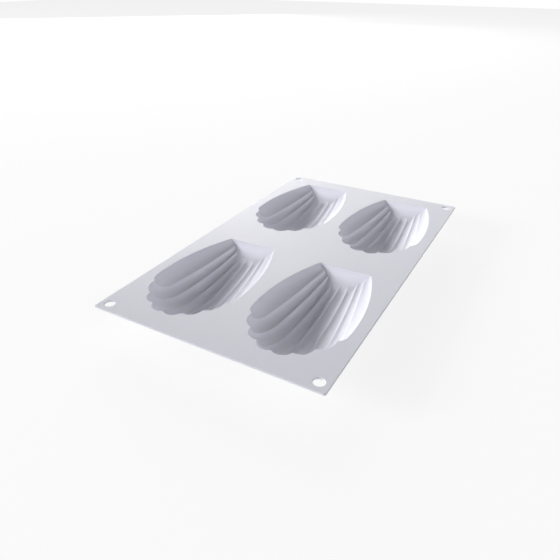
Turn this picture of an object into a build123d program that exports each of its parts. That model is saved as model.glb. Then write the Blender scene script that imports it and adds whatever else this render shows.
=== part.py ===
from build123d import *
from math import cos, hypot, radians, sin, sqrt
import os

os.makedirs("parts", exist_ok=True)

# Silicone baking mould: a thin flat sheet with four fluted shell cups hanging below it.
# +X across the sheet, +Y towards the straight (hinge) ends of the shells, +Z up.
# The origin lies below the sheet's middle, on the table that the cups rest on.

# Sheet
sheet_width = 175.0
sheet_length = 300.0
sheet_thickness = 1.5
sheet_corner_radius = 1.5
corner_hole_radius = 3.75
corner_hole_inset = 7.5

# Cup pattern
cup_pitch_x = 84.6
cup_pitch_y = 150.0
cup_wall = 1.5

# Mouth of a shell, seen from above, about the middle of the cup
mouth_half_width = 36.0
mouth_side_radius = 161.0
widest_y = -10.0
hinge_y = 58.3
hinge_radius = 11.5
front_notch_y = -56.2

# Depth of the middle ridge below the sheet's top, at its lowest and at the hinge
ridge_depth = 20.2
hinge_ridge_depth = 8.6
waist_y = -12.0
keel_power = 2.1
nose_power = 1.8

# Ridges, from the middle one outward. Seen from above each bows a little from hinge to notch.
hinge_half_spread = 21.3
hinge_spread_shares = (0.0, 0.29, 0.555, 0.76)
ridge_depth_shares = (1.0, 0.97, 0.795, 0.555)
notch_spread_shares = (0.0, 0.347, 0.636, 0.861)
notch_reach_shares = (1.0, 0.922, 0.754, 0.507)
ridge_bow_share = 0.035

# Bulge of each flute as a share of its width, from the middle pair to the plain side flutes
hinge_bulge_shares = (0.23, 0.23, 0.23, 0.17)
mouth_bulge_shares = (0.29, 0.25, 0.19, 0.115)

# Narrow flats that make up the arc of each flute, from the middle pair outward
flute_flat_counts = (5, 5, 4, 3)

# Loft stations: the first stands upright behind the hinge and the last lies flat in the mouth
station_count = 8
tail_overrun = 4.0
shoulder_y = -20.5
search_steps = 40


def mix(start, end, share):
    """Value that lies a given share of the way from start to end."""
    return start + (end - start) * share


def mouth_half_width_at(y):
    """Half width of the mouth on its long side arc."""
    side_drop = mouth_side_radius - sqrt(mouth_side_radius**2 - (y - widest_y) ** 2)
    return mouth_half_width - side_drop


def ridge_x(k, y):
    """Distance of a ridge from the middle line, seen from above."""
    hinge_x = hinge_spread_shares[k] * hinge_half_spread
    notch_x = notch_spread_shares[k] * mouth_half_width
    way = (hinge_y - y) / (hinge_y - notch_reach_shares[k] * front_notch_y)
    bow = ridge_bow_share * (hinge_x + notch_x) * 2 * way * (1 - way)
    return mix(hinge_x, notch_x, way) + bow


def ridge_z(k, y):
    """Depth of a ridge: a long slope behind the waist and a rounded nose in front of it."""
    lowest = ridge_depth_shares[k] * ridge_depth
    if y > waist_y:
        back_share = (y - waist_y) / (hinge_y - waist_y)
        return lowest * mix(1, hinge_ridge_depth / ridge_depth, back_share**keel_power)
    nose_share = (waist_y - y) / (waist_y - notch_reach_shares[k] * front_notch_y)
    return lowest * max(0, 1 - nose_share**nose_power) ** (1 / nose_power)


def ridge_reach(k, pivot_y, lean):
    """Distance from the rim, down a plane that leans forward, at which it meets a ridge."""
    near = 0
    far = mouth_side_radius
    for _ in range(search_steps):
        reach = mix(near, far, 0.5)
        if reach * cos(lean) < ridge_z(k, pivot_y - reach * sin(lean)):
            near = reach
        else:
            far = reach
    return near


def shell_section(share):
    """Plane, rim half width, ridge points and flute bulges at a share of the way to the mouth."""
    lean = radians(90) * share**2
    pivot_y = mix(shoulder_y, hinge_y + tail_overrun, (1 - share) ** 2)
    plane = Plane(origin=(0, pivot_y, 0), x_dir=(1, 0, 0), z_dir=(0, cos(lean), -sin(lean)))
    ridges = []
    for k in range(len(ridge_depth_shares)):
        reach = ridge_reach(k, pivot_y, lean)
        ridges.append((ridge_x(k, pivot_y - reach * sin(lean)), reach))
    bulges = [mix(a, b, share**2) for a, b in zip(hinge_bulge_shares, mouth_bulge_shares)]
    return plane, mouth_half_width_at(pivot_y), ridges, bulges


def flat_corners(arc, count, start):
    """Corners of the flats that an arc is cut into, after the one at its start."""
    corners = [arc @ (n / count) for n in range(count + 1)]
    if (corners[0] - start).length > (corners[-1] - start).length:
        corners.reverse()
    return corners[1:]


def draw_section(section, wall):
    """Face of one section: eight flutes between seven sharp ridges, closed by a straight rim."""
    plane, half_width, ridges, bulges = section
    right = ridges + [(half_width, 0)]
    left = [(-x, depth) for x, depth in reversed(right[1:])]
    points = left + right
    flute_bulges = list(reversed(bulges)) + list(bulges)
    with BuildSketch(plane) as sketch:
        with BuildLine():
            for start, end, bulge in zip(points, points[1:], flute_bulges):
                chord = hypot(end[0] - start[0], end[1] - start[1])
                SagittaArc(start, end, bulge * chord)
            Line(points[-1], points[0])
        make_face()
        if wall:
            offset(amount=wall, kind=Kind.INTERSECTION)
    # The same outline again from its left rim, with its arcs cut into flats
    arcs = sketch.sketch_local.edges().filter_by(GeomType.CIRCLE).sort_by(Axis.X)
    counts = list(reversed(flute_flat_counts)) + list(flute_flat_counts)
    corners = [Vector(arcs[0].vertices().sort_by(Axis.Y)[0])]
    for arc, count in zip(arcs, counts):
        corners += flat_corners(arc, count, corners[-1])
    with BuildSketch(plane) as outline:
        with BuildLine():
            Polyline(*corners, corners[0])
        make_face()
    return outline.sketch.face()


def shell_body(wall):
    """Solid shell form, grown outward by a wall, with its rim level with the sheet's top."""
    with BuildPart() as body:
        shares = [n / (station_count - 1) for n in range(station_count)]
        loft([draw_section(shell_section(share), wall) for share in shares], ruled=True)
        # The hinge end is a quarter round that turns down from the straight edge of the mouth
        with BuildSketch(Plane.YZ.offset(-sheet_width)):
            with Locations((hinge_y - hinge_radius, 0)):
                Circle(hinge_radius + wall)
            with Locations((hinge_y - hinge_radius + wall, 0)):
                Rectangle(2 * sheet_length, sheet_length, align=(Align.MAX, Align.CENTER))
        extrude(amount=2 * sheet_width, mode=Mode.INTERSECT)
    return body.part


# The hollow of a shell, and the thin cup round it that starts at the sheet's underside
hollow = shell_body(0)
with BuildPart() as cup_form:
    add(shell_body(cup_wall))
    split(bisect_by=Plane.XY.offset(-sheet_thickness), keep=Keep.BOTTOM)
    add(hollow, mode=Mode.SUBTRACT)

# The cups stand on their lowest flutes, which sets the height of the sheet
sheet_top = -cup_form.part.bounding_box().min.Z
cup_places = {
    "cavity_front_left": (-cup_pitch_x / 2, -cup_pitch_y / 2, sheet_top),
    "cavity_front_right": (cup_pitch_x / 2, -cup_pitch_y / 2, sheet_top),
    "cavity_back_left": (-cup_pitch_x / 2, cup_pitch_y / 2, sheet_top),
    "cavity_back_right": (cup_pitch_x / 2, cup_pitch_y / 2, sheet_top),
}

# Sheet with a scalloped mouth over each cup and a round hole near each corner
with BuildPart() as mould_sheet:
    with BuildSketch(Plane.XY.offset(sheet_top - sheet_thickness)):
        RectangleRounded(sheet_width, sheet_length, sheet_corner_radius)
        hole_spacing_x = sheet_width - 2 * corner_hole_inset
        hole_spacing_y = sheet_length - 2 * corner_hole_inset
        with GridLocations(hole_spacing_x, hole_spacing_y, 2, 2):
            Circle(corner_hole_radius, mode=Mode.SUBTRACT)
    extrude(amount=sheet_thickness)
    with Locations(*cup_places.values()):
        add(hollow, mode=Mode.SUBTRACT)
mould_sheet.part.label = "mould_sheet"
export_step(mould_sheet.part, "parts/mould_sheet.step")

for name, place in cup_places.items():
    with BuildPart() as cup:
        with Locations(place):
            add(cup_form.part)
    cup.part.label = name
    export_step(cup.part, f"parts/{name}.step")
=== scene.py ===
"""White silicone madeleine mould, cast as one moulding, on a plain pale floor."""

from math import atan2, cos, hypot, pi, radians, sin, sqrt, tau

import bmesh
import bpy
from bpy.props import FloatProperty, FloatVectorProperty, PointerProperty
from mathutils import Matrix, Vector


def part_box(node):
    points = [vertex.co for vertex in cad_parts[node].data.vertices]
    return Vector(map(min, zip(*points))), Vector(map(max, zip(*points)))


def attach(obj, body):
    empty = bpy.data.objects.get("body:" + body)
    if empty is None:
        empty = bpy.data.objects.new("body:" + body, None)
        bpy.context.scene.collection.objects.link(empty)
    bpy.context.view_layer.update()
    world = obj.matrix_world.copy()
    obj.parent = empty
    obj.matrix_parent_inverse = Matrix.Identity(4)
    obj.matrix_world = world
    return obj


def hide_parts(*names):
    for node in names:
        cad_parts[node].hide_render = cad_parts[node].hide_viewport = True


bl_info = {
    "name": "Madeleine Mould",
    "version": (1, 0, 0),
    "blender": (4, 5, 0),
    "location": "3D View > Sidebar > Mould",
    "description": "Casts a silicone mould with fluted shell cups and sets its stage",
    "category": "Object",
}

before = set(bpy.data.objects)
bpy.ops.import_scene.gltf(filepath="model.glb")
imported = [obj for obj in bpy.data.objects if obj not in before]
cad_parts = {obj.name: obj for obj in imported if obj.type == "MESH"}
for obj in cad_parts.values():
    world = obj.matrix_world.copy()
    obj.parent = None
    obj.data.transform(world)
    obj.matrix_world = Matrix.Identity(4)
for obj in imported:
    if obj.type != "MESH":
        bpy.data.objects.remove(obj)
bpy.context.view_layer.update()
SHEET_LOW, SHEET_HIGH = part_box("mould_sheet")
CUP_NODES = ("cavity_front_left", "cavity_front_right", "cavity_back_left", "cavity_back_right")
CUP_BOXES = {name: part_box(name) for name in CUP_NODES}

# The cups' nodes stand as far apart as their mouths do
FIRST_CUP_LOW = CUP_BOXES["cavity_front_left"][0]
LAST_CUP_LOW = CUP_BOXES["cavity_back_right"][0]
CUP_PITCH_X, CUP_PITCH_Y = (LAST_CUP_LOW - FIRST_CUP_LOW).xy
SHEET_THICKNESS = SHEET_HIGH.z - SHEET_LOW.z

# Mouth of a shell, seen from above, about the middle of the cup
MOUTH_SIDE_RADIUS = 0.161
WIDEST_Y = -0.010
HINGE_Y = 0.0583
FRONT_NOTCH_Y = -0.0562

# Slope of the middle ridge, from its depth at the hinge to its lowest point at the waist
HINGE_RIDGE_DEPTH = 0.0086
WAIST_Y = -0.012
KEEL_POWER = 2.1
NOSE_POWER = 1.8

# Ridges, from the middle one outward. Seen from above each bows a little from hinge to notch.
HINGE_HALF_SPREAD = 0.0213
HINGE_SPREAD_SHARES = (0.0, 0.29, 0.555, 0.76)
RIDGE_DEPTH_SHARES = (1.0, 0.97, 0.795, 0.555)
NOTCH_SPREAD_SHARES = (0.0, 0.347, 0.636, 0.861)
NOTCH_REACH_SHARES = (1.0, 0.922, 0.754, 0.507)
RIDGE_BOW_SHARE = 0.035
RIDGE_COUNT = 2 * len(RIDGE_DEPTH_SHARES) - 1

# Bulge of each flute as a share of its width, from the middle pair to the plain side flutes
HINGE_BULGE_SHARES = (0.23, 0.23, 0.23, 0.17)
MOUTH_BULGE_SHARES = (0.29, 0.25, 0.19, 0.115)

# The sections stand upright behind the hinge and lean over until the last lies in the mouth
TAIL_OVERRUN = 0.004
SHOULDER_Y = -0.0205

# Fineness of the moulding's skin
SECTION_COUNT = 120
SEARCH_STEPS = 40
FLUTE_STEPS = 8
RIDGE_STEPS = 4
ROW_COUNT = 60
WALL_STEPS = 8
EDGE_STEPS = 4
CORNER_STEPS = 8
HOLE_STEPS = 56
LEVEL_TOLERANCE = 1e-6

# The lip of a mouth is this share of its full size on the tongues between the scallops
TONGUE_LIP_SHARE = 0.4

# Silicone: faint clouds in the colour
CLOUD_SCALE = 16
CLOUD_DETAIL = 3
CLOUD_SHADE = 0.985

# Silicone: patches of gloss, and how far they leave the set roughness
PATCH_SCALE = 180
PATCH_DETAIL = 4
PATCH_GLOSSIER = 0.03
PATCH_MATTER = 0.05

# Silicone: fine grain of the surface that it was cast against
GRAIN_SCALE = 2400
GRAIN_DETAIL = 2
GRAIN_STRENGTH = 0.35
GRAIN_HEIGHT = 0.00002

# Silicone: slow unevenness of the sheet
WAVE_SCALE = 22
WAVE_DETAIL = 1
WAVE_STRENGTH = 0.3
WAVE_HEIGHT = 0.0004

# Silicone: shine, and how far red, green and blue light spread below the skin
SPECULAR_LEVEL = 0.3
SCATTER_REACH = (1, 0.95, 0.9)
SCATTER_DEPTH = 0.0012

# Most values of a noise lie between these two
NOISE_LOW = 0.3
NOISE_HIGH = 0.7

# Floor and sky. The glow is the share of plain white in how the floor looks.
FLOOR_COLOUR = (0.95, 0.95, 0.95, 1)
FLOOR_ROUGHNESS = 0.9
FLOOR_GLOW = 0.86
SKY_COLOUR = (0.9, 0.92, 1, 1)
WHITE = (1, 1, 1, 1)

# Square lights: where each stands and how long its side is
KEY_PLACE = Vector((-3.28, -2.38, 1.43))
KEY_SIDE = 0.9
FILL_PLACE = Vector((1.95, -0.49, 0.77))
FILL_SIDE = 1.0
BACK_PLACE = Vector((-0.9, 1.9, 0.9))
BACK_SIDE = 1.2
CORNER_PLACE = Vector((-1.9, 1.9, 0.8))
CORNER_SIDE = 1.6

# The camera stands where the photograph's corners of the sheet put it, measured from the sheet
IMAGE_SIDE = 560
CAMERA_FROM_SHEET = Vector((0.1663, -0.3446, 0.1971))
CAMERA_FORWARD = Vector((-0.422, 0.742, -0.522))
CAMERA_UP = Vector((-0.26, 0.452, 0.853))
FOCAL_PIXELS = 515.5
CENTRE_PIXEL = (275, 285)
SENSOR_WIDTH_MM = 36


class MouldSizes(bpy.types.PropertyGroup):
    """Sizes of the moulding"""

    cup_pitch_x: FloatProperty(
        name="Cup pitch across",
        description="Distance between the middles of two cups across the sheet",
        default=CUP_PITCH_X,
        unit="LENGTH",
    )
    cup_pitch_y: FloatProperty(
        name="Cup pitch along",
        description="Distance between the middles of two cups along the sheet",
        default=CUP_PITCH_Y,
        unit="LENGTH",
    )
    cup_wall: FloatProperty(
        name="Cup wall",
        description="Thickness of the cups' wall",
        default=0.00122,
        unit="LENGTH",
    )
    mouth_half_width: FloatProperty(
        name="Mouth half width",
        description="Half the width of a cup's mouth at its widest",
        default=0.036,
        unit="LENGTH",
    )
    ridge_depth: FloatProperty(
        name="Ridge depth",
        description="Depth of the middle ridge below the sheet's top at its lowest",
        default=0.0202,
        unit="LENGTH",
    )
    hinge_radius: FloatProperty(
        name="Hinge radius",
        description="Radius of the round that turns down from the straight end of the mouth",
        default=0.0115,
        unit="LENGTH",
    )
    corner_radius: FloatProperty(
        name="Corner radius",
        description="Radius of the sheet's corners",
        default=0.0015,
        unit="LENGTH",
    )
    hole_radius: FloatProperty(
        name="Hole radius",
        description="Radius of the corner holes",
        default=0.00375,
        unit="LENGTH",
    )
    hole_inset: FloatProperty(
        name="Hole inset",
        description="Distance from the sheet's edges to the middle of a corner hole",
        default=0.0075,
        unit="LENGTH",
    )
    edge_radius: FloatProperty(
        name="Edge radius",
        description="Softness of the sheet's edges, its holes and the mouths",
        default=0.00035,
        unit="LENGTH",
    )
    ridge_softness: FloatProperty(
        name="Ridge softness",
        description="Length over which a ridge turns from one flute to the next",
        default=0.00065,
        unit="LENGTH",
    )


class MouldFinish(bpy.types.PropertyGroup):
    """Colour and surface of the silicone"""

    colour: FloatVectorProperty(
        name="Silicone colour",
        description="Colour of the clean moulded silicone",
        subtype="COLOR",
        size=3,
        min=0,
        max=1,
        default=(0.80, 0.80, 0.87),
    )
    roughness: FloatProperty(
        name="Roughness",
        description="How matt the moulded skin is",
        default=0.48,
        min=0,
        max=1,
        subtype="FACTOR",
    )
    chalkiness: FloatProperty(
        name="Chalkiness",
        description="How evenly the skin scatters light from low angles",
        default=0.6,
        min=0,
        max=1,
        subtype="FACTOR",
    )
    translucence: FloatProperty(
        name="Translucence",
        description="Share of the light that spreads inside the silicone",
        default=0.2,
        min=0,
        max=1,
        subtype="FACTOR",
    )


class StageSettings(bpy.types.PropertyGroup):
    """Floor and lights round the mould"""

    floor_side: FloatProperty(
        name="Floor side",
        description="Length of the square floor",
        default=8.0,
        unit="LENGTH",
    )
    key_power: FloatProperty(
        name="Key power",
        description="Power of the main light, which stands low on the left",
        default=190,
        min=0,
    )
    fill_power: FloatProperty(
        name="Fill power",
        description="Power of the light on the right that opens the shaded flutes",
        default=15,
        min=0,
    )
    back_power: FloatProperty(
        name="Back power",
        description="Power of the wide light behind the mould that brightens the sheet",
        default=15,
        min=0,
    )
    corner_power: FloatProperty(
        name="Corner power",
        description="Power of the widest light, behind on the left, that brightens the sheet there",
        default=40,
        min=0,
    )
    sky_strength: FloatProperty(
        name="Sky strength",
        description="Strength of the even light from all round",
        default=0.02,
        min=0,
    )


def mix(start, end, share):
    """Value that lies a given share of the way from start to end."""
    return start + (end - start) * share


def mouth_half_width_at(sizes, y):
    """Half width of the mouth on its long side arc."""
    side_drop = MOUTH_SIDE_RADIUS - sqrt(MOUTH_SIDE_RADIUS**2 - (y - WIDEST_Y) ** 2)
    return sizes.mouth_half_width - side_drop


def ridge_x(sizes, k, y):
    """Distance of a ridge from the middle line, seen from above."""
    hinge_x = HINGE_SPREAD_SHARES[k] * HINGE_HALF_SPREAD
    notch_x = NOTCH_SPREAD_SHARES[k] * sizes.mouth_half_width
    way = (HINGE_Y - y) / (HINGE_Y - NOTCH_REACH_SHARES[k] * FRONT_NOTCH_Y)
    bow = RIDGE_BOW_SHARE * (hinge_x + notch_x) * 2 * way * (1 - way)
    return mix(hinge_x, notch_x, way) + bow


def ridge_z(sizes, k, y):
    """Depth of a ridge: a long slope behind the waist and a rounded nose in front of it."""
    lowest = RIDGE_DEPTH_SHARES[k] * sizes.ridge_depth
    if y > WAIST_Y:
        back_share = (y - WAIST_Y) / (HINGE_Y - WAIST_Y)
        return lowest * mix(1, HINGE_RIDGE_DEPTH / sizes.ridge_depth, back_share**KEEL_POWER)
    nose_share = (WAIST_Y - y) / (WAIST_Y - NOTCH_REACH_SHARES[k] * FRONT_NOTCH_Y)
    return lowest * max(0, 1 - nose_share**NOSE_POWER) ** (1 / NOSE_POWER)


def ridge_reach(sizes, k, pivot_y, lean):
    """Distance from the rim, down a plane that leans forward, at which it meets a ridge."""
    near = 0
    far = MOUTH_SIDE_RADIUS
    for _ in range(SEARCH_STEPS):
        reach = mix(near, far, 0.5)
        if reach * cos(lean) < ridge_z(sizes, k, pivot_y - reach * sin(lean)):
            near = reach
        else:
            far = reach
    return near


def flute_circle(start, end, bulge):
    """Centre and radius of the arc that bulges outward from one ridge to the next."""
    chord = end - start
    outward = Vector((-chord.y, chord.x)).normalized()
    sagitta = bulge * chord.length
    radius = chord.length_squared / (8 * sagitta) + sagitta / 2
    return (start + end) / 2 + outward * (sagitta - radius), radius


def circles_meet(first, second, near):
    """The point nearest to a ridge at which two circles meet."""
    (centre_a, radius_a), (centre_b, radius_b) = first, second
    link = centre_b - centre_a
    along = (link.length_squared + radius_a**2 - radius_b**2) / (2 * link.length)
    across = sqrt(max(0, radius_a**2 - along**2))
    foot = centre_a + link.normalized() * along
    side = Vector((-link.y, link.x)).normalized() * across
    return min((foot + side, foot - side), key=lambda point: (point - near).length)


def rim_meet(circle, wall, near):
    """The point nearest to the rim's end at which a circle meets the rim line."""
    centre, radius = circle
    across = sqrt(radius**2 - (wall + centre.y) ** 2)
    ends = [Vector((centre.x + side * across, -wall)) for side in (-1, 1)]
    return min(ends, key=lambda point: (point - near).length)


def arc_sweep(centre, start, end):
    """Angle at which an arc starts, and the angle that it turns through."""
    first = atan2(start.y - centre.y, start.x - centre.x)
    turn = atan2(end.y - centre.y, end.x - centre.x) - first
    return first, (turn + pi) % tau - pi


def arc_points(circle, start, end, shares):
    """Points at shares of the way along a circle from start to end."""
    centre, radius = circle
    first, turn = arc_sweep(centre, start, end)
    angles = [first + turn * share for share in shares]
    return [centre + Vector((cos(a), sin(a))) * radius for a in angles]


def turn_points(start, corner, end, steps):
    """Points between start and end on a soft turn round a corner."""
    points = []
    for n in range(1, steps):
        share = n / steps
        points.append(mix(mix(start, corner, share), mix(corner, end, share), share))
    return points


def section_arcs(sizes, share, wall, lean, pivot_y):
    """Circles of one section's flutes, and the corners at which each meets the next."""
    ridges = []
    for k in range(len(RIDGE_DEPTH_SHARES)):
        reach = ridge_reach(sizes, k, pivot_y, lean)
        ridges.append(Vector((ridge_x(sizes, k, pivot_y - reach * sin(lean)), reach)))
    right = ridges + [Vector((mouth_half_width_at(sizes, pivot_y), 0))]
    knots = [Vector((-knot.x, knot.y)) for knot in reversed(right[1:])] + right
    bulges = [mix(a, b, share**2) for a, b in zip(HINGE_BULGE_SHARES, MOUTH_BULGE_SHARES)]
    bulges = list(reversed(bulges)) + bulges
    circles = []
    for start, end, bulge in zip(knots, knots[1:], bulges):
        centre, radius = flute_circle(start, end, bulge)
        circles.append((centre, radius + wall))
    corners = [rim_meet(circles[0], wall, knots[0])]
    for first, second, knot in zip(circles, circles[1:], knots[1:]):
        corners.append(circles_meet(first, second, knot))
    corners.append(rim_meet(circles[-1], wall, knots[-1]))
    return circles, corners


def section_points(sizes, share, wall):
    """Points of the skin on one leaning section, from the left rim to the right one."""
    lean = radians(90) * share**2
    pivot_y = mix(SHOULDER_Y, HINGE_Y + TAIL_OVERRUN, (1 - share) ** 2)
    circles, corners = section_arcs(sizes, share, wall, lean, pivot_y)
    flutes = []
    for n, circle in enumerate(circles):
        centre, radius = circle
        turn = arc_sweep(centre, corners[n], corners[n + 1])[1]
        soft = min(sizes.ridge_softness / (abs(turn) * radius), 1 / FLUTE_STEPS)
        first = 0 if n == 0 else soft
        last = 1 if n == len(circles) - 1 else 1 - soft
        shares = [mix(first, last, step / FLUTE_STEPS) for step in range(FLUTE_STEPS + 1)]
        flutes.append(arc_points(circle, corners[n], corners[n + 1], shares))
    outline = list(flutes[0])
    for before, corner, after in zip(flutes, corners[1:], flutes[1:]):
        outline += turn_points(before[-1], corner, after[0], RIDGE_STEPS) + after
    return [Vector((p.x, pivot_y - p.y * sin(lean), -p.y * cos(lean))) for p in outline]


def walked_lengths(path):
    """Distance walked along a path of points, at each of them."""
    lengths = [0]
    for before, after in zip(path, path[1:]):
        lengths.append(lengths[-1] + (after - before).length)
    return lengths


def evenly_spaced(path, count):
    """Points at even steps along a path."""
    lengths = walked_lengths(path)
    points = []
    place = 0
    for n in range(count + 1):
        wanted = lengths[-1] * n / count
        while place < len(lengths) - 2 and lengths[place + 1] < wanted:
            place += 1
        step = lengths[place + 1] - lengths[place]
        share = (wanted - lengths[place]) / step if step else 0
        points.append(mix(path[place], path[place + 1], share))
    return points


def skin_rows(sizes, wall):
    """Rows of points over a shell's skin, from the hinge's rim down its wall and to the front."""
    sections = [section_points(sizes, n / SECTION_COUNT, wall) for n in range(SECTION_COUNT + 1)]
    round_y = HINGE_Y - sizes.hinge_radius
    round_radius = sizes.hinge_radius + wall

    def behind(point):
        """How far a point lies outside the round hinge end."""
        if point.y < round_y + wall:
            return -1
        return hypot(point.y - round_y, point.z) - round_radius

    paths = []
    for path in zip(*sections):
        start = next(n for n, point in enumerate(path) if behind(point) <= 0)
        outer = path[start - 1]
        inner = path[start]
        for _ in range(SEARCH_STEPS):
            middle = (outer + inner) / 2
            if behind(middle) > 0:
                outer = middle
            else:
                inner = middle
        paths.append([inner, *path[start:]])

    # The hinge's wall climbs the round from the flutes' feet and spreads evenly along its rim
    feet = [path[0] for path in paths]
    foot_lengths = walked_lengths(feet)
    half_width = feet[-1].x
    columns = []
    for path, foot_length in zip(paths, foot_lengths):
        foot = path[0]
        top_x = mix(-half_width, half_width, foot_length / foot_lengths[-1])
        foot_turn = atan2(-foot.z, foot.y - round_y)
        column = []
        for n in range(WALL_STEPS):
            turn = foot_turn * n / WALL_STEPS
            height = -round_radius * sin(turn)
            x = mix(top_x, foot.x, n / WALL_STEPS)
            column.append(Vector((x, round_y + round_radius * cos(turn), height)))
        columns.append(column + evenly_spaced(path, ROW_COUNT))
    return [list(row) for row in zip(*columns)]


def add_band(mesh, lower, upper, closed):
    """Faces between two rows of vertices."""
    pairs = list(zip(lower, upper))
    if closed:
        pairs.append(pairs[0])
    for (a, b), (c, d) in zip(pairs, pairs[1:]):
        corners = list(dict.fromkeys((a, c, d, b)))
        if len(corners) > 2:
            mesh.faces.new(corners)


def add_row(mesh, points):
    """One vertex for each point."""
    return [mesh.verts.new(point) for point in points]


def mouth_ring(front, last):
    """Places once round the mouth, each with the one below it, as a row and a column."""
    left = [((row, 0), (row, 1)) for row in range(WALL_STEPS, front)]
    scallops = [((front, column), (front - 1, column)) for column in range(last + 1)]
    right = [((row, last), (row, last - 1)) for row in range(front - 1, WALL_STEPS - 1, -1)]
    hinge = [((0, column), (1, column)) for column in range(last - 1, 0, -1)]
    return left + scallops + right + hinge


def steps_to_ridge(column):
    """Columns from a place on the scalloped front to the nearest ridge."""
    first_ridge = FLUTE_STEPS + RIDGE_STEPS / 2
    span = FLUTE_STEPS + RIDGE_STEPS
    return min(abs(column - first_ridge - span * k) for k in range(RIDGE_COUNT))


def shell_inside(sizes):
    """Mesh of a shell's hollow, with a soft lip that ends level with the sheet's top."""
    rows = skin_rows(sizes, 0)
    last = len(rows[0]) - 1
    front = len(rows) - 1
    ring = mouth_ring(front, last)
    rim = [rows[row][column].copy() for (row, column), _ in ring]
    outer_row = []
    inner_row = []
    for n, ((row, column), (below_row, below_column)) in enumerate(ring):
        along = rim[(n + 1) % len(rim)] - rim[n - 1]
        outward = Vector((along.y, -along.x, 0)).normalized()
        down = (rows[below_row][below_column] - rim[n]).normalized()
        radius = sizes.edge_radius
        if row == front:
            radius *= min(1, mix(TONGUE_LIP_SHARE, 1, steps_to_ridge(column) / RIDGE_STEPS))
        outer_row.append(rim[n] + outward * radius)
        inner_row.append(rim[n] + down * radius)

    mesh = bmesh.new()
    for ((row, column), _), point in zip(ring, inner_row):
        rows[row][column] = point
    grid = [add_row(mesh, row) for row in rows]
    # The wall's first and last columns are single corners
    for row in range(WALL_STEPS):
        for column in (0, last):
            mesh.verts.remove(grid[row][column])
            grid[row][column] = grid[WALL_STEPS][column]
    for lower, upper in zip(grid, grid[1:]):
        add_band(mesh, lower, upper, closed=False)
    bands = [[grid[row][column] for (row, column), _ in ring]]
    turns = [
        turn_points(start, corner, end, EDGE_STEPS)
        for start, corner, end in zip(inner_row, rim, outer_row)
    ]
    for step in range(EDGE_STEPS - 1):
        bands.append(add_row(mesh, [turn[step] for turn in turns]))
    bands.append(add_row(mesh, outer_row))
    for lower, upper in zip(bands, bands[1:]):
        add_band(mesh, lower, upper, closed=True)
    return mesh


def shell_outside(sizes):
    """Mesh of a cup's outside, cut level with the sheet's underside."""
    mesh = bmesh.new()
    rows = skin_rows(sizes, sizes.cup_wall)
    rows.insert(0, [Vector((point.x, rows[0][0].y, SHEET_THICKNESS)) for point in rows[0]])
    grid = [add_row(mesh, row) for row in rows]
    for lower, upper in zip(grid, grid[1:]):
        add_band(mesh, lower, upper, closed=False)
    bmesh.ops.bisect_plane(
        mesh,
        geom=[*mesh.verts, *mesh.edges, *mesh.faces],
        plane_co=(0, 0, -SHEET_THICKNESS),
        plane_no=(0, 0, 1),
        clear_outer=True,
    )
    return mesh


def edge_profile(sizes):
    """Inset and depth at each step round a soft edge, from the sheet's top to its underside."""
    radius = sizes.edge_radius
    start = Vector((radius, 0))
    corner = Vector((0, 0))
    end = Vector((0, radius))
    top = [start, *turn_points(start, corner, end, EDGE_STEPS), end]
    return top + [Vector((step.x, SHEET_THICKNESS - step.y)) for step in reversed(top)]


def sheet_outline(sizes, inset):
    """Rounded rectangle of the sheet, drawn in by an inset."""
    outline = []
    for quarter, (side_x, side_y) in enumerate(((1, 1), (-1, 1), (-1, -1), (1, -1))):
        centre_x = side_x * (SHEET_HIGH.x - sizes.corner_radius)
        centre_y = side_y * (SHEET_HIGH.y - sizes.corner_radius)
        for step in range(CORNER_STEPS + 1):
            turn = radians(90) * (quarter + step / CORNER_STEPS)
            reach = sizes.corner_radius - inset
            outline.append((centre_x + reach * cos(turn), centre_y + reach * sin(turn)))
    return outline


def hole_outline(sizes, centre, inset):
    """Circle of a corner hole, widened by an inset."""
    radius = sizes.hole_radius + inset
    turns = [tau * step / HOLE_STEPS for step in range(HOLE_STEPS)]
    return [(centre.x + radius * cos(turn), centre.y + radius * sin(turn)) for turn in turns]


def add_edge(mesh, outline_at, profile):
    """Soft edge that follows an outline from the sheet's top to its underside."""
    rows = []
    for inset, depth in profile:
        height = SHEET_HIGH.z - depth
        rows.append(add_row(mesh, [(x, y, height) for x, y in outline_at(inset)]))
    for lower, upper in zip(rows, rows[1:]):
        add_band(mesh, lower, upper, closed=True)


def fill_level(mesh, height):
    """Flat face at one height between all the open loops there, with crisp borders."""
    loops = [
        edge
        for edge in mesh.edges
        if edge.is_boundary
        and all(abs(vertex.co.z - height) < LEVEL_TOLERANCE for vertex in edge.verts)
    ]
    bmesh.ops.triangle_fill(mesh, edges=loops, use_beauty=True)
    for edge in loops:
        edge.smooth = False


def merge_at(mesh, part, places):
    """Copies of a part at several places."""
    data = bpy.data.meshes.new("copy")
    part.to_mesh(data)
    part.free()
    for place in places:
        data.transform(Matrix.Translation(place))
        mesh.from_mesh(data)
        data.transform(Matrix.Translation(-place))
    bpy.data.meshes.remove(data)


def add_noise(nodes, links, place, scale, detail):
    """Noise texture that lies still on the object."""
    noise = nodes.new("ShaderNodeTexNoise")
    noise.inputs["Scale"].default_value = scale
    noise.inputs["Detail"].default_value = detail
    links.new(place.outputs["Object"], noise.inputs["Vector"])
    return noise


def add_range(nodes, links, source, low, high):
    """Spread of a noise between two values."""
    spread = nodes.new("ShaderNodeMapRange")
    spread.inputs["From Min"].default_value = NOISE_LOW
    spread.inputs["From Max"].default_value = NOISE_HIGH
    spread.inputs["To Min"].default_value = low
    spread.inputs["To Max"].default_value = high
    links.new(source.outputs["Fac"], spread.inputs["Value"])
    return spread


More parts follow.
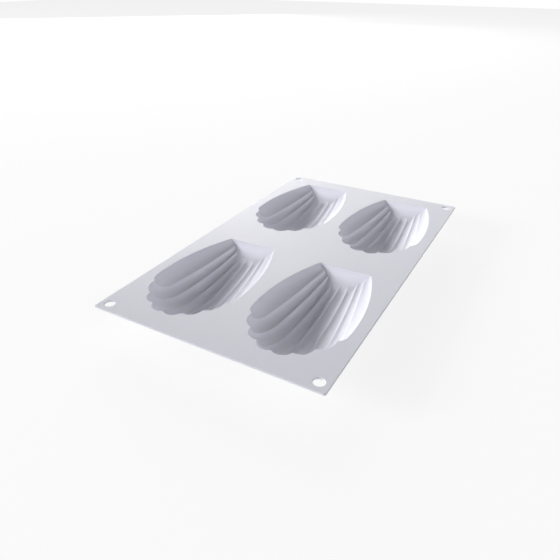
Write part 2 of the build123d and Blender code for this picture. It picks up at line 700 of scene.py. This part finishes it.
def add_bump(nodes, links, source, strength, height):
    """Relief that follows a noise."""
    bump = nodes.new("ShaderNodeBump")
    bump.inputs["Strength"].default_value = strength
    bump.inputs["Distance"].default_value = height
    links.new(source.outputs["Fac"], bump.inputs["Height"])
    return bump


def silicone_material(finish):
    """Moulded white silicone: chalky matt skin with a fine grain and a faint cloudiness."""
    material = bpy.data.materials.new("white_silicone")
    material.use_nodes = True
    nodes = material.node_tree.nodes
    links = material.node_tree.links
    shader = nodes["Principled BSDF"]
    place = nodes.new("ShaderNodeTexCoord")

    # Colour: faint clouds, as pigment spreads in the rubber
    clouds = add_noise(nodes, links, place, CLOUD_SCALE, CLOUD_DETAIL)
    cloud_share = add_range(nodes, links, clouds, 0, 1)
    tint = nodes.new("ShaderNodeMix")
    tint.data_type = "RGBA"
    tint.inputs["A"].default_value = (*(channel * CLOUD_SHADE for channel in finish.colour), 1)
    tint.inputs["B"].default_value = (*finish.colour, 1)
    links.new(cloud_share.outputs["Result"], tint.inputs["Factor"])
    links.new(tint.outputs["Result"], shader.inputs["Base Color"])

    # Roughness: the skin is a little glossier in patches
    patches = add_noise(nodes, links, place, PATCH_SCALE, PATCH_DETAIL)
    glossiest = finish.roughness - PATCH_GLOSSIER
    most_matt = finish.roughness + PATCH_MATTER
    gloss = add_range(nodes, links, patches, glossiest, most_matt)
    links.new(gloss.outputs["Result"], shader.inputs["Roughness"])

    # Relief: fine grain of the mould that it was cast in, over a slow unevenness of the sheet
    grain = add_noise(nodes, links, place, GRAIN_SCALE, GRAIN_DETAIL)
    grain_bump = add_bump(nodes, links, grain, GRAIN_STRENGTH, GRAIN_HEIGHT)
    waves = add_noise(nodes, links, place, WAVE_SCALE, WAVE_DETAIL)
    wave_bump = add_bump(nodes, links, waves, WAVE_STRENGTH, WAVE_HEIGHT)
    links.new(grain_bump.outputs["Normal"], wave_bump.inputs["Normal"])
    links.new(wave_bump.outputs["Normal"], shader.inputs["Normal"])

    shader.inputs["Diffuse Roughness"].default_value = finish.chalkiness
    shader.inputs["Specular IOR Level"].default_value = SPECULAR_LEVEL
    shader.inputs["Subsurface Weight"].default_value = finish.translucence
    shader.inputs["Subsurface Radius"].default_value = SCATTER_REACH
    shader.inputs["Subsurface Scale"].default_value = SCATTER_DEPTH
    return material


class MOULD_OT_cast_moulding(bpy.types.Operator):
    """Cast the sheet and its four cups as one silicone moulding"""

    bl_idname = "mould.cast_moulding"
    bl_label = "Cast Moulding"

    def execute(self, context):
        sizes = context.scene.mould_sizes
        mesh = bmesh.new()
        places = [
            Vector((side_x * sizes.cup_pitch_x / 2, side_y * sizes.cup_pitch_y / 2, SHEET_HIGH.z))
            for side_x in (-1, 1)
            for side_y in (-1, 1)
        ]
        merge_at(mesh, shell_inside(sizes), places)
        merge_at(mesh, shell_outside(sizes), places)
        profile = edge_profile(sizes)
        add_edge(mesh, lambda inset: sheet_outline(sizes, inset), profile)
        hole_reach = SHEET_HIGH.xy - Vector((1, 1)) * sizes.hole_inset
        for side_x in (-1, 1):
            for side_y in (-1, 1):
                centre = Vector((side_x, side_y)) * hole_reach
                add_edge(mesh, lambda inset: hole_outline(sizes, centre, inset), profile)
        fill_level(mesh, SHEET_HIGH.z)
        fill_level(mesh, SHEET_LOW.z)
        bmesh.ops.recalc_face_normals(mesh, faces=mesh.faces)
        for face in mesh.faces:
            face.smooth = True
        if any(edge.is_boundary for edge in mesh.edges):
            self.report({"ERROR"}, "The moulding's skin is open")
            return {"CANCELLED"}
        data = bpy.data.meshes.new("silicone_moulding")
        mesh.to_mesh(data)
        mesh.free()
        data.materials.append(silicone_material(context.scene.mould_finish))
        moulding = bpy.data.objects.new("silicone_moulding", data)
        context.scene.collection.objects.link(moulding)
        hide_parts("mould_sheet", *CUP_NODES)
        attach(moulding, "root")
        return {"FINISHED"}


def add_seen(nodes, links):
    """Node that is 1 where the camera, a shiny surface or glass looks, and 0 for soft light."""
    path = nodes.new("ShaderNodeLightPath")
    camera_or_glossy = nodes.new("ShaderNodeMath")
    camera_or_glossy.operation = "MAXIMUM"
    links.new(path.outputs["Is Camera Ray"], camera_or_glossy.inputs[0])
    links.new(path.outputs["Is Glossy Ray"], camera_or_glossy.inputs[1])
    seen = nodes.new("ShaderNodeMath")
    seen.operation = "MAXIMUM"
    links.new(camera_or_glossy.outputs["Value"], seen.inputs[0])
    links.new(path.outputs["Is Transmission Ray"], seen.inputs[1])
    return seen


def floor_material():
    """Matt floor that looks plain white and is darkened only by the mould's shadow."""
    material = bpy.data.materials.new("pale_floor")
    material.use_nodes = True
    nodes = material.node_tree.nodes
    links = material.node_tree.links
    shader = nodes["Principled BSDF"]
    shader.inputs["Base Color"].default_value = FLOOR_COLOUR
    shader.inputs["Roughness"].default_value = FLOOR_ROUGHNESS
    glow = nodes.new("ShaderNodeEmission")
    glow.inputs["Strength"].default_value = 1
    glow_share = nodes.new("ShaderNodeMath")
    glow_share.operation = "MULTIPLY"
    glow_share.inputs[1].default_value = FLOOR_GLOW
    links.new(add_seen(nodes, links).outputs["Value"], glow_share.inputs[0])
    blend = nodes.new("ShaderNodeMixShader")
    links.new(glow_share.outputs["Value"], blend.inputs["Fac"])
    links.new(shader.outputs["BSDF"], blend.inputs[1])
    links.new(glow.outputs["Emission"], blend.inputs[2])
    links.new(blend.outputs["Shader"], nodes["Material Output"].inputs["Surface"])
    return material


def studio_world(sky_strength):
    """Faint even sky light that looks plain white behind the floor."""
    world = bpy.data.worlds.new("studio")
    world.use_nodes = True
    nodes = world.node_tree.nodes
    links = world.node_tree.links
    sky = nodes["Background"]
    sky.inputs["Color"].default_value = SKY_COLOUR
    sky.inputs["Strength"].default_value = sky_strength
    backdrop = nodes.new("ShaderNodeBackground")
    backdrop.inputs["Color"].default_value = WHITE
    backdrop.inputs["Strength"].default_value = 1
    blend = nodes.new("ShaderNodeMixShader")
    links.new(add_seen(nodes, links).outputs["Value"], blend.inputs["Fac"])
    links.new(sky.outputs["Background"], blend.inputs[1])
    links.new(backdrop.outputs["Background"], blend.inputs[2])
    links.new(blend.outputs["Shader"], nodes["World Output"].inputs["Surface"])
    return world


def add_area_light(name, place, target, side, power):
    """Square area light that looks at a point."""
    data = bpy.data.lights.new(name, "AREA")
    data.shape = "SQUARE"
    data.size = side
    data.energy = power
    light = bpy.data.objects.new(name, data)
    light.location = place
    light.rotation_euler = (target - place).to_track_quat("-Z", "Y").to_euler()
    bpy.context.scene.collection.objects.link(light)


class MOULD_OT_set_stage(bpy.types.Operator):
    """Lay the floor and place the lights and the camera"""

    bl_idname = "mould.set_stage"
    bl_label = "Set Stage"

    def execute(self, context):
        scene = context.scene
        settings = scene.mould_stage
        half = settings.floor_side / 2
        mesh = bpy.data.meshes.new("floor")
        corners = [(-half, -half, 0), (half, -half, 0), (half, half, 0), (-half, half, 0)]
        mesh.from_pydata(corners, [], [(0, 1, 2, 3)])
        floor = bpy.data.objects.new("floor", mesh)
        scene.collection.objects.link(floor)
        mesh.materials.append(floor_material())

        scene.world = studio_world(settings.sky_strength)
        middle = Vector((0, 0, SHEET_HIGH.z))
        add_area_light("key", KEY_PLACE, middle, KEY_SIDE, settings.key_power)
        add_area_light("fill", FILL_PLACE, middle, FILL_SIDE, settings.fill_power)
        add_area_light("back", BACK_PLACE, middle, BACK_SIDE, settings.back_power)
        add_area_light("corner", CORNER_PLACE, middle, CORNER_SIDE, settings.corner_power)

        data = bpy.data.cameras.new("camera")
        data.sensor_width = SENSOR_WIDTH_MM
        data.lens = FOCAL_PIXELS * data.sensor_width / IMAGE_SIDE
        data.shift_x = (IMAGE_SIDE / 2 - CENTRE_PIXEL[0]) / IMAGE_SIDE
        data.shift_y = (CENTRE_PIXEL[1] - IMAGE_SIDE / 2) / IMAGE_SIDE
        camera = bpy.data.objects.new("camera", data)
        back = -CAMERA_FORWARD.normalized()
        right = CAMERA_UP.cross(back).normalized()
        up = back.cross(right)
        turn = Matrix((right, up, back)).transposed().to_4x4()
        camera.matrix_world = Matrix.Translation(middle + CAMERA_FROM_SHEET) @ turn
        scene.collection.objects.link(camera)
        scene.camera = camera
        scene.view_settings.view_transform = "Standard"
        return {"FINISHED"}


class MOULD_PT_panel(bpy.types.Panel):
    """Sizes, colours and steps of the mould"""

    bl_label = "Madeleine Mould"
    bl_idname = "MOULD_PT_panel"
    bl_space_type = "VIEW_3D"
    bl_region_type = "UI"
    bl_category = "Mould"

    def draw(self, context):
        layout = self.layout
        scene = context.scene
        for group in (scene.mould_sizes, scene.mould_finish, scene.mould_stage):
            for name in group.__annotations__:
                layout.prop(group, name)
        layout.operator("mould.cast_moulding")
        layout.operator("mould.set_stage")


CLASSES = (
    MouldSizes,
    MouldFinish,
    StageSettings,
    MOULD_OT_cast_moulding,
    MOULD_OT_set_stage,
    MOULD_PT_panel,
)


def register():
    for cls in CLASSES:
        bpy.utils.register_class(cls)
    bpy.types.Scene.mould_sizes = PointerProperty(type=MouldSizes)
    bpy.types.Scene.mould_finish = PointerProperty(type=MouldFinish)
    bpy.types.Scene.mould_stage = PointerProperty(type=StageSettings)


def unregister():
    del bpy.types.Scene.mould_stage
    del bpy.types.Scene.mould_finish
    del bpy.types.Scene.mould_sizes
    for cls in reversed(CLASSES):
        bpy.utils.unregister_class(cls)


def main():
    register()
    bpy.ops.mould.cast_moulding()
    bpy.ops.mould.set_stage()


if __name__ == "__main__":
    main()
